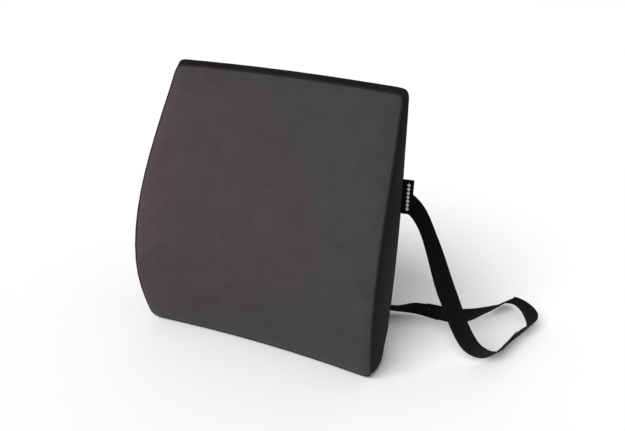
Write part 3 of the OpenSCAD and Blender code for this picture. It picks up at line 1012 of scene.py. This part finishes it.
def make_strap():
    ends = {s: middle("strap_end_" + s) for s in ("right", "left")}

    right = band_stations("strap_right", WEB_T, ends["right"])
    right = sewn_end("strap_end_right", right)
    obj = ribbon("strap_right", ease(resample(right, STRAP_STEP)), STRAP_W, WEB_T)
    finish_piece(obj, WEBBING, None, ["strap_right", "strap_end_right"])
    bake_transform(obj)

    left = band_stations("strap_left", WEB_T, ends["left"])
    left = sewn_end("strap_end_left", left)
    obj = ribbon("strap_left", resample(left, STRAP_STEP), STRAP_W, WEB_T)
    finish_piece(obj, WEBBING, None, ["strap_left", "strap_end_left"])
    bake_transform(obj)

    run = band_stations("strap_elastic", ELASTIC_T, right[-1][0])
    obj = ribbon("strap_elastic", resample(run, STRAP_STEP), STRAP_W, ELASTIC_T, ribs=16, rib_share=0.3)
    finish_piece(obj, ELASTIC, "strap", ["strap_elastic"])


def make_label():
    """A folded woven flag caught in the seam, with a plain row of lozenges."""
    joint = joint_named("label_flap")
    root, up = Vector(joint["pos_m"]), -Vector(joint["axis"]).normalized()
    front = Vector((0, -1, 0))
    out = front.cross(up) * -1
    if out.x < 0:
        out = -out
    run = LABEL_REACH + LABEL_TUCK - LABEL_HALF_T
    section = [(-LABEL_TUCK + run * (m / LABEL_ACROSS), LABEL_HALF_T) for m in range(LABEL_ACROSS + 1)]
    section += [(LABEL_REACH - LABEL_HALF_T + LABEL_HALF_T * math.cos(a), LABEL_HALF_T * math.sin(a))
                for a in (math.pi * (0.5 - q / 6) for q in range(1, 6))]
    section += [(-LABEL_TUCK + run * (1 - m / LABEL_ACROSS), -LABEL_HALF_T)
                for m in range(LABEL_ACROSS + 1)]
    rows = []
    for k in range(LABEL_STEPS + 1):
        z = -LABEL_L / 2 + LABEL_L * k / LABEL_STEPS
        flare = LABEL_FLARE * math.sin(math.pi * k / LABEL_STEPS)
        rows.append([root + up * z + out * a + front * (b + flare * smooth_step(a / LABEL_REACH))
                     for a, b in section])
    obj = sweep("side_label", rows)
    layer = obj.data.uv_layers.new(name="run")
    for p in obj.data.polygons:
        for k in p.loop_indices:
            v = obj.data.vertices[obj.data.loops[k].vertex_index].co
            layer.data[k].uv = ((v - root).dot(out), (v - root).dot(up))
    finish_piece(obj, LABEL, None, ["side_label"])
    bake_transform(obj)

    finish_piece(lozenges(root, up, out, front), MOTIF, "label")


def lozenges(root, up, out, front):
    """The raised woven lozenges on both sides of the label."""
    points, faces = [], []
    half = LOZENGE_HALF
    for side in (1, -1):
        for k in range(LOZENGES):
            z = (k - (LOZENGES - 1) / 2) * LOZENGE_PITCH
            flare = LABEL_FLARE * math.sin(math.pi * (z / LABEL_L + 0.5)) * 0.6
            centre = root + up * z + out * LOZENGE_OUT + front * (side * LABEL_HALF_T + flare)
            base = len(points)
            for lift, share in ((-0.05 * MM, 1.0), (0.08 * MM, 1.0), (0.12 * MM, 0.7)):
                for a in range(4):
                    q = math.pi / 2 * a
                    points.append(centre + front * side * lift
                                  + (up * math.cos(q) * half + out * math.sin(q) * half * 0.9) * share)
            for r in range(2):
                faces += [(base + 4 * r + i, base + 4 * r + (i + 1) % 4,
                           base + 4 * (r + 1) + (i + 1) % 4, base + 4 * (r + 1) + i) for i in range(4)]
            faces.append(tuple(base + 8 + i for i in range(4)))
            faces.append(tuple(base + 3 - i for i in range(4)))
    return new_object("label_motif", points, faces, smooth=False)


def make_laps():
    """Stitch rows through both layers of each lap."""
    obj = frame["nodes"]["lap_stitches"]
    part = bmesh.new()
    part.from_mesh(obj.data)
    bmesh.ops.remove_doubles(part, verts=part.verts, dist=WELD_DIST)
    solids, seen = [], set()
    for v in part.verts:
        if v in seen:
            continue
        found, stack = [], [v]
        seen.add(v)
        while stack:
            here = stack.pop()
            found.append(here.co.copy())
            for e in here.link_edges:
                other = e.other_vert(here)
                if other not in seen:
                    seen.add(other)
                    stack.append(other)
        solids.append(np.array([list(p) for p in found]))
    part.free()
    rows = []
    for n, cloud in enumerate(solids):
        centre = cloud.mean(0)
        _, _, axes = np.linalg.svd(cloud - centre)
        across, normal = axes[0], axes[1]
        reach = np.abs((cloud - centre) @ across).max()
        depth = np.abs((cloud - centre) @ normal).max()
        for side in (1, -1):
            line = [centre + across * s + normal * side * (depth - 0.2 * MM)
                    for s in np.linspace(-reach, reach, 12)]
            rows.append(dashes(f"row_{n}_{side}", line, [normal * side] * len(line),
                               pitch=2.6 * MM, length=2.0 * MM, radius=0.3 * MM))
    finish_piece(join("lap_stitches", rows), THREAD, "strap", ["lap_stitches"])


# ---------- Stage ----------

def look_from(camera, heading, tilt, roll):
    """Turns a camera: heading from +Y towards -X, tilt above the horizon, roll counter-clockwise."""
    h, t, r = (math.radians(a) for a in (heading, tilt, roll))
    ahead = Vector((-math.sin(h) * math.cos(t), math.cos(h) * math.cos(t), math.sin(t)))
    right = ahead.cross(Vector((0, 0, 1))).normalized()
    up = right.cross(ahead)
    rolled = right * math.cos(r) + up * math.sin(r)
    upright = -right * math.sin(r) + up * math.cos(r)
    camera.matrix_world = Matrix.Translation(camera.location) @ Matrix(
        (rolled, upright, -ahead)).transposed().to_4x4()


def make_camera():
    data = bpy.data.cameras.new("camera")
    data.sensor_width = CAMERA_SENSOR
    data.lens = CAMERA_LENS
    data.clip_end = 50
    camera = bpy.data.objects.new("camera", data)
    bpy.context.scene.collection.objects.link(camera)
    camera.location = CAMERA_PLACE
    look_from(camera, CAMERA_HEADING, CAMERA_TILT, CAMERA_ROLL)
    bpy.context.scene.camera = camera


def aim(lamp, place, target):
    bpy.context.scene.collection.objects.link(lamp)
    lamp.location = place
    lamp.rotation_euler = (Vector(target) - Vector(place)).to_track_quat("-Z", "Y").to_euler()


def sun_light(name, place, spread, strength):
    """An even light over the whole stage, shining from the side of place."""
    data = bpy.data.lights.new(name, "SUN")
    data.angle = math.radians(spread)
    data.energy = strength
    aim(bpy.data.objects.new(name, data), place, (0, 0, 0))


def area_light(name, place, target, size, power, colour, lit):
    """A soft lamp near the object. The camera doesn't see it, and it lights only the objects in lit."""
    data = bpy.data.lights.new(name, "AREA")
    data.shape = "SQUARE"
    data.size = size
    data.energy = power
    data.color = colour
    lamp = bpy.data.objects.new(name, data)
    lamp.visible_camera = False
    group = bpy.data.collections.new(name)
    for obj in lit:
        group.objects.link(obj)
    lamp.light_linking.receiver_collection = group
    aim(lamp, place, target)


def make_world():
    """White where the camera looks past the floor, a little dimmer as the soft light all round."""
    world = bpy.data.worlds.new("studio")
    world.use_nodes = True
    nodes, links = world.node_tree.nodes, world.node_tree.links
    path = nodes.new("ShaderNodeLightPath")
    share = maths(nodes, links, "MULTIPLY", path.outputs["Is Camera Ray"], 1 - AMBIENT)
    links.new(maths(nodes, links, "ADD", share, AMBIENT), nodes["Background"].inputs["Strength"])
    nodes["Background"].inputs["Color"].default_value = (1, 1, 1, 1)
    bpy.context.scene.world = world


def make_stage():
    half = FLOOR_HALF
    floor = new_object("floor", [(-half, -half, 0), (half, -half, 0), (half, half, 0), (-half, half, 0)],
                       [(0, 1, 2, 3)])
    mat, _, _, shader = material("pale_floor", 0.9)
    shader.inputs["Base Color"].default_value = (FLOOR_TONE, FLOOR_TONE, FLOOR_TONE, 1)
    shader.inputs["Specular IOR Level"].default_value = 0
    floor.data.materials.append(mat)
    floor.location.z = -FLOOR_DROP
    make_world()
    bpy.context.scene.view_settings.view_transform = "Standard"
    sun_light("key", KEY_FROM, KEY_SPREAD, KEY_STRENGTH)
    cloth = [obj for obj in bpy.data.objects if obj.type == "MESH" and obj is not floor]
    area_light("rosy_fill", FILL_PLACE, FILL_TARGET, FILL_SIZE, FILL_POWER, FILL_COLOUR, cloth)


make_cover()
make_zip()
make_strap()
make_label()
make_laps()
make_stage()
make_camera()
